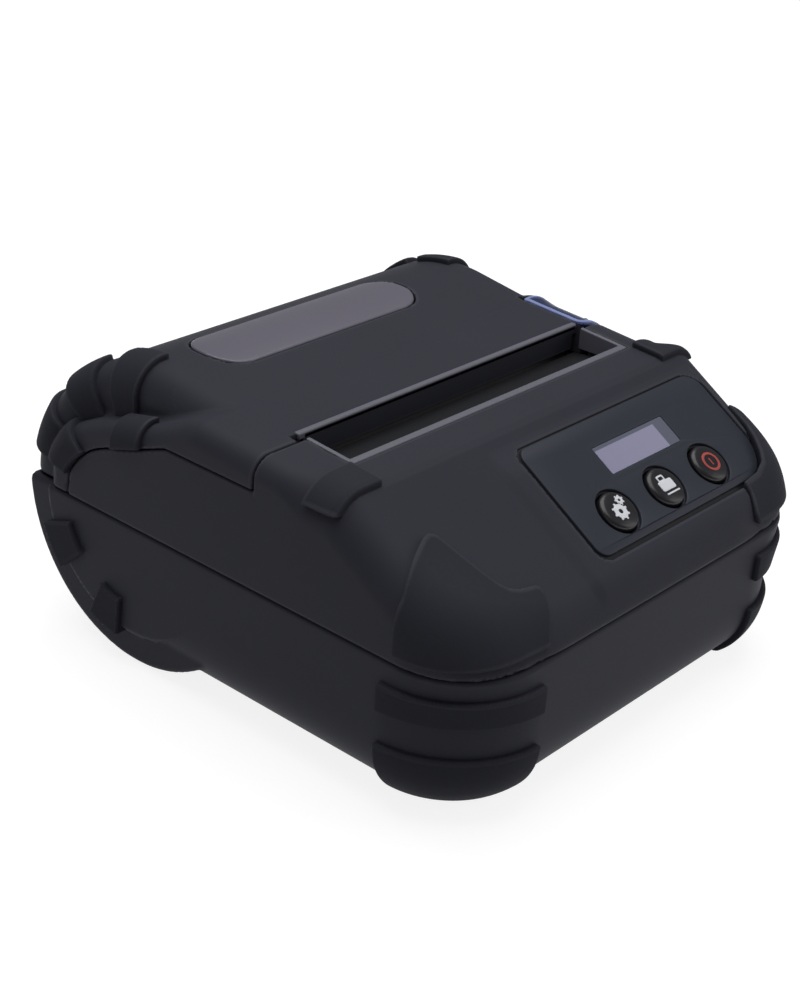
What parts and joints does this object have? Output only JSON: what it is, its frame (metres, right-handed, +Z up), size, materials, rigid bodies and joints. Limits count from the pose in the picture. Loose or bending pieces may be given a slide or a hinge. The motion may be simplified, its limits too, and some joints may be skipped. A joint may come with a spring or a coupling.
{
  "type": "mobile printer",
  "caption": "Rugged portable thermal printer with a drum shaped paper cover, sloped control panel and rubber guards.",
  "frame": {"origin": "middle of the box round the part, on the surface it rests on", "axes": "+X to the printer's right seen from its panel, +Y from the panel to the cover hinge, +Z up"},
  "size_m": [0.1102, 0.121, 0.0608],
  "materials": {
    "case_plastic": "moulded ABS with a fine matt texture",
    "guard_rubber": "soft thermoplastic rubber, matt and grainy",
    "strip_plastic": "satin grey moulded plastic",
    "inner_plastic": "moulded plastic",
    "panel_film": "glossy black polyester film",
    "lens": "clear window over a pale display",
    "board": "green solder mask on glass epoxy",
    "chips": "black moulded epoxy",
    "steel": "bare steel",
    "brass": "turned brass",
    "aluminium": "milled aluminium",
    "acetal": "natural acetal",
    "roller_rubber": "ground silicone rubber",
    "ceramic": "glazed ceramic",
    "button": "glossy moulded plastic",
    "smoke_window": "smoked clear plastic",
    "lever_blue": "blue moulded plastic",
    "battery_case": "moulded plastic"
  },
  "bodies": {
    "case": {"lower_case": "case_plastic", "upper_case": "case_plastic", "guard_left": "guard_rubber", "guard_right": "guard_rubber", "corner_bands_left": "guard_rubber", "corner_bands_right": "guard_rubber", "top_band_left": "guard_rubber", "top_band_right": "guard_rubber", "rear_ribs_left": "guard_rubber", "rear_ribs_right": "guard_rubber", "slot_frame": "strip_plastic", "paper_chute": "inner_plastic", "tear_bar": "steel", "control_panel": "panel_film", "display_lens": "lens", "display_module": "chips", "panel_board": "board", "panel_switches": "steel", "main_board": "board", "board_parts": "chips", "radio_module": "steel", "buzzer": "chips", "mechanism_frame": "steel", "stepper_motor": "steel", "idler_pin": "steel", "head_pin": "steel", "head_springs": "steel", "paper_tray": "inner_plastic", "paper_sensor": "chips", "hinge_pin": "steel", "power_jack": "chips", "usb_port": "steel", "battery_contacts": "brass", "case_screws": "steel", "clip_inserts": "brass"},
    "cover": {"paper_cover": "case_plastic", "cover_window": "smoke_window", "cover_ribs_left": "guard_rubber", "cover_ribs_right": "guard_rubber", "cover_edge_bar": "strip_plastic", "platen_arms": "steel", "platen_bushes": "brass", "lever_pin": "steel"},
    "platen": {"platen_roller": "roller_rubber", "platen_shaft": "steel", "platen_gear": "acetal"},
    "idler": {"idler_gear": "acetal"},
    "pinion": {"motor_pinion": "brass"},
    "head": {"print_head": "ceramic", "head_heatsink": "aluminium"},
    "lever": {"release_lever": "lever_blue"},
    "battery": {"battery_pack": "battery_case"},
    "latch": {"battery_latch": "guard_rubber"},
    "port_flap": {"port_cover": "guard_rubber"},
    "settings_key": {"settings_button": "button"},
    "feed_key": {"feed_button": "button"},
    "power_key": {"power_button": "button"}
  },
  "joints": [
    {"name": "cover_hinge", "type": "hinge", "parent": "case", "child": "cover", "pos_m": [0, 0.0583, 0.0305], "axis": [-1, 0, 0], "range_deg": [0, 100]},
    {"name": "platen_spin", "type": "hinge", "parent": "cover", "child": "platen", "pos_m": [0, -0.0012, 0.0465], "axis": [1, 0, 0], "continuous": true},
    {"name": "idler_spin", "type": "hinge", "parent": "case", "child": "idler", "pos_m": [-0.0467, -0.01068, 0.03436], "axis": [1, 0, 0], "continuous": true},
    {"name": "pinion_spin", "type": "hinge", "parent": "case", "child": "pinion", "pos_m": [-0.0467, -0.02327, 0.0348], "axis": [1, 0, 0], "continuous": true},
    {"name": "head_pivot", "type": "hinge", "parent": "case", "child": "head", "pos_m": [0, -0.0103, 0.0408], "axis": [1, 0, 0], "range_deg": [0, 1.2], "stiffness_Nm_per_rad": 0.4, "springref_deg": -2.86},
    {"name": "lever_hinge", "type": "hinge", "parent": "cover", "child": "lever", "pos_m": [0.048, -0.0036, 0.054], "axis": [1, 0, 0], "range_deg": [0, 15], "stiffness_Nm_per_rad": 0.02, "springref_deg": -5.73},
    {"name": "battery_slide", "type": "slide", "parent": "case", "child": "battery", "axis": [1, 0, 0], "range_m": [0, 0.08]},
    {"name": "latch_slide", "type": "slide", "parent": "battery", "child": "latch", "axis": [0, 1, 0], "range_m": [0, 0.003], "stiffness_N_per_m": 100, "springref_m": -0.002},
    {"name": "port_hinge", "type": "hinge", "parent": "case", "child": "port_flap", "pos_m": [0.05315, 0.0157, 0.0139], "axis": [0, 1, 0], "range_deg": [0, 110]},
    {"name": "settings_press", "type": "slide", "parent": "case", "child": "settings_key", "axis": [0, 0.527, -0.8499], "range_m": [0, 0.0006], "stiffness_N_per_m": 600, "springref_m": -0.0004},
    {"name": "feed_press", "type": "slide", "parent": "case", "child": "feed_key", "axis": [0, 0.527, -0.8499], "range_m": [0, 0.0006], "stiffness_N_per_m": 600, "springref_m": -0.0004},
    {"name": "power_press", "type": "slide", "parent": "case", "child": "power_key", "axis": [0, 0.527, -0.8499], "range_m": [0, 0.0006], "stiffness_N_per_m": 600, "springref_m": -0.0004}
  ],
  "couplings": [
    {"joint": "idler_spin", "follows": "platen_spin", "ratio": -0.83333},
    {"joint": "pinion_spin", "follows": "platen_spin", "ratio": 1.6667}
  ]
}
